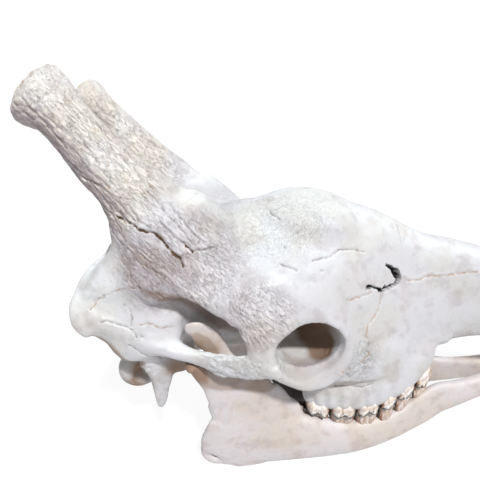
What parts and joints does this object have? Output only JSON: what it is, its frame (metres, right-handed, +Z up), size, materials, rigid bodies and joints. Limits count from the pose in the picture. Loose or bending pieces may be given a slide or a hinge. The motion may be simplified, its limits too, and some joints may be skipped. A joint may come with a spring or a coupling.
{
  "type": "giraffe skull",
  "caption": "Life-size skull of an adult bull giraffe with its lower jaw in place, resting on the jaw's lower edge.",
  "frame": {"origin": "middle of the bounding box in plan, on the floor that the lower jaw rests on", "axes": "+X to the muzzle, +Y to the animal's left, +Z up"},
  "size_m": [0.65, 0.2452, 0.5097],
  "materials": {
    "skull_bone": "dry weathered bone, chalky and matt, with fine pores",
    "jaw_bone": "dry weathered bone, chalky and matt, with fine pores",
    "ossicone_bone": "dry weathered bone, chalky and matt, with fine pores"
  },
  "bodies": {
    "root": {"cranium": "skull_bone", "nasal_right": "skull_bone", "nasal_left": "skull_bone", "premaxilla_right": "skull_bone", "premaxilla_left": "skull_bone", "ossicone_right": "ossicone_bone", "ossicone_left": "ossicone_bone", "mandible_right": "jaw_bone", "mandible_left": "jaw_bone"}
  },
  "joints": []
}
